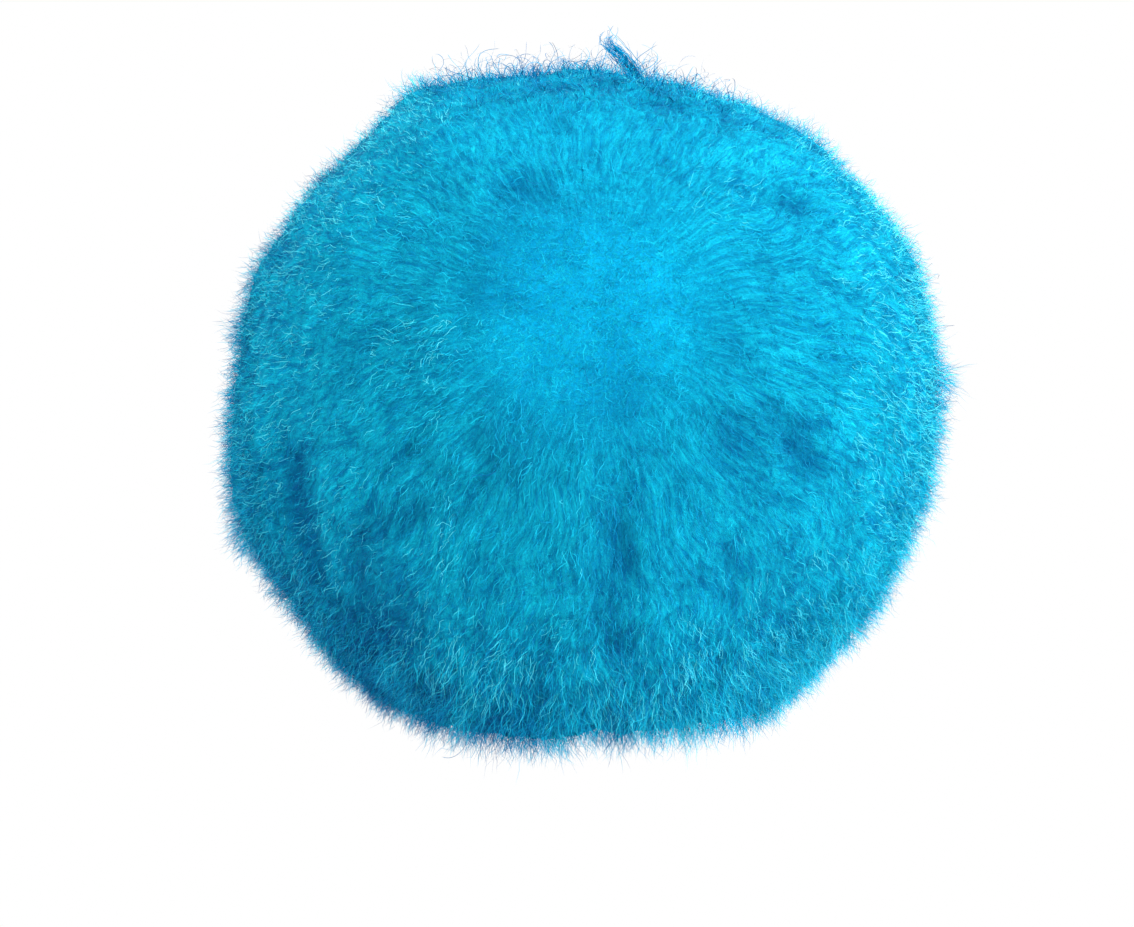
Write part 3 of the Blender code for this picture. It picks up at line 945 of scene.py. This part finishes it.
# %% Add the hooked tuft
HOOK_FIBRES = 80
HOOK_SPREAD, FARTHEST_ASIDE = 1.1 * MM, 6 * MM
HOOK_WANDER = 0.45 * MM
HOOK_PATH = np.array(
    ((-31, 19, 113), (-25.4, 20, 124), (-17.6, 21, 133), (-11.9, 22, 138), (-11.3, 22, 142), (-14, 22, 145))
) * MM
steps = np.linspace(0.0, 1.0, FLYAWAY_SEGMENTS + 1) * rng.uniform(0.5, 1.0, (HOOK_FIBRES, 1))
knots = np.linspace(0.0, 1.0, len(HOOK_PATH))
lines = np.stack([np.interp(steps, knots, HOOK_PATH[:, axis]) for axis in range(3)], axis=-1)
spread = rng.standard_t(3, size=(HOOK_FIBRES, 1, 3)) * HOOK_SPREAD * (1.0 - 0.4 * steps[:, :, None])
wander = np.cumsum(rng.normal(size=lines.shape), axis=1) * HOOK_WANDER
lines = lines + spread.clip(-FARTHEST_ASIDE, FARTHEST_ASIDE) + wander
ribbons(
    "fibres_hooked_tuft", lines, FLYAWAY_WIDTH * rng.uniform(0.7, 1.2, HOOK_FIBRES),
    rng.uniform(0.0, 0.45, HOOK_FIBRES), np.tile((0.0, 1.0, 0.0), (HOOK_FIBRES, 1)),
)

# %% [markdown]
# From below and in front, the inside shows. The cap is a fine stretch knit with rows of hair stitched
# round it, and the band in its edge is ribbed elastic. Both finishes count stitches round the head and
# rows down it, so one node group counts them once. Each piece is a smooth copy of its solid.

# %% Group that counts stitches and rows
knit, given, made = new_group(
    "knit_stitches", ("Stitch Pitch", "Row Pitch", "Slant"), ("Stitch", "Row", "Down The Head")
)
centred = knit.nodes.new("ShaderNodeVectorMath")
centred.operation = "ADD"
centred.inputs[1].default_value = (0.0, 0.0, HEAD_HALVES.z)
knit.links.new(knit.nodes.new("ShaderNodeTexCoord").outputs["Object"], centred.inputs[0])
straight = knit.nodes.new("ShaderNodeVectorMath")
straight.operation = "NORMALIZE"
knit.links.new(centred.outputs["Vector"], straight.inputs[0])
part = knit.nodes.new("ShaderNodeSeparateXYZ")
knit.links.new(straight.outputs["Vector"], part.inputs["Vector"])
around = sum_of(knit, "MULTIPLY", sum_of(knit, "ARCTAN2", part.outputs["X"], part.outputs["Y"]), 85 * MM)
down = sum_of(knit, "MULTIPLY", sum_of(knit, "ARCCOSINE", part.outputs["Z"]), 100 * MM)
rows = sum_of(knit, "DIVIDE", down, given.outputs["Row Pitch"])
in_row = sum_of(knit, "ABSOLUTE", sum_of(knit, "SUBTRACT", sum_of(knit, "FRACT", rows), 0.5))
lean = sum_of(knit, "MULTIPLY", in_row, given.outputs["Slant"])
stitches = sum_of(knit, "ADD", sum_of(knit, "DIVIDE", around, given.outputs["Stitch Pitch"]), lean)
wave = sum_of(knit, "SINE", sum_of(knit, "MULTIPLY", stitches, 2 * math.pi))
knit.links.new(sum_of(knit, "MULTIPLY_ADD", wave, 0.5, 0.5), made.inputs["Stitch"])
knit.links.new(sum_of(knit, "MULTIPLY", in_row, 2.0), made.inputs["Row"])
knit.links.new(down, made.inputs["Down The Head"])
print("stitch group nodes:", len(knit.nodes))


def knit_stitches(tree, stitch_pitch, row_pitch, slant):
    """The stitch group placed in a material: stitch wave, place in its row, and metres down the head."""
    group = tree.nodes.new("ShaderNodeGroup")
    group.node_tree = knit
    group.inputs["Stitch Pitch"].default_value = stitch_pitch
    group.inputs["Row Pitch"].default_value = row_pitch
    group.inputs["Slant"].default_value = slant
    return group.outputs["Stitch"], group.outputs["Row"], group.outputs["Down The Head"]


# %% Net material, with its rows of stitched hair
NET_THREAD, NET_HOLE_SHADE = (0.030, 0.230, 0.350), (0.004, 0.050, 0.090)
WEFT_PITCH, WEFT_SHARE = 14 * MM, 0.30

net_finish, tree, shader = new_material("stretch_knit_net", 0.8, 0.15)
stitch, row, down = knit_stitches(tree, 2.2 * MM, 1.8 * MM, 0.8)
across_row = sum_of(tree, "SUBTRACT", 1.0, sum_of(tree, "POWER", row, 3.0))
mesh_height = sum_of(tree, "MULTIPLY", stitch, across_row)
from_weft = sum_of(tree, "SUBTRACT", sum_of(tree, "FRACT", sum_of(tree, "DIVIDE", down, WEFT_PITCH)), 0.5)
weft = remapped(tree, sum_of(tree, "ABSOLUTE", from_weft), WEFT_SHARE / 2, WEFT_SHARE / 2 + 0.05, 1.0, 0.0)
# Painted shade: the holes between the stitches, where the bump is lowest, are coloured a dark blue, as the
# shade seen through them.
net_colour = colour_between(tree, mesh_height, NET_HOLE_SHADE, NET_THREAD)
weft_colour = colour_between(tree, stitch, (0.003, 0.180, 0.320), HAIR_MID)
tree.links.new(colour_between(tree, weft, net_colour, weft_colour), shader.inputs["Base Color"])
relief = tree.nodes.new("ShaderNodeBump")
relief.inputs["Strength"].default_value = 0.8
relief.inputs["Distance"].default_value = 0.6 * MM
cord_height = sum_of(tree, "MULTIPLY", weft, 1.4)
tree.links.new(sum_of(tree, "MAXIMUM", mesh_height, cord_height), relief.inputs["Height"])
tree.links.new(relief.outputs["Normal"], shader.inputs["Normal"])
print("net material nodes:", len(tree.nodes))

# %% Elastic material
elastic_finish, tree, shader = new_material("ribbed_elastic", 0.65, 0.25)
rib, line, _ = knit_stitches(tree, 1.6 * MM, 2.4 * MM, 0.0)
shallower = sum_of(tree, "MULTIPLY_ADD", line, -0.35, 1.0)
grooves = sum_of(tree, "MULTIPLY", sum_of(tree, "POWER", rib, 0.6), shallower)
# Painted shade: the grooves between the ribs are coloured darker than the ribs.
tree.links.new(
    colour_between(tree, grooves, (0.008, 0.050, 0.085), (0.030, 0.150, 0.230)), shader.inputs["Base Color"]
)
relief = tree.nodes.new("ShaderNodeBump")
relief.inputs["Strength"].default_value = 0.7
relief.inputs["Distance"].default_value = 0.5 * MM
tree.links.new(grooves, relief.inputs["Height"])
tree.links.new(relief.outputs["Normal"], shader.inputs["Normal"])
print("elastic material nodes:", len(tree.nodes))

# %% Dress the cap and the band
CREASE = math.radians(50)
for node, name, finish, slot in (
    ("wig_cap", "net_cap", net_finish, "cap_net"),
    ("elastic_edge_band", "edge_elastic", elastic_finish, "elastic"),
):
    cloth = welded_copy(node, name)
    cloth.data.shade_smooth()
    cloth.data.set_sharp_from_angle(angle=CREASE)
    cloth.data.materials.clear()
    cloth.data.materials.append(finish)
    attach(cloth, "root")
    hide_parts(node)
    print(name, "faces:", len(cloth.data.polygons))
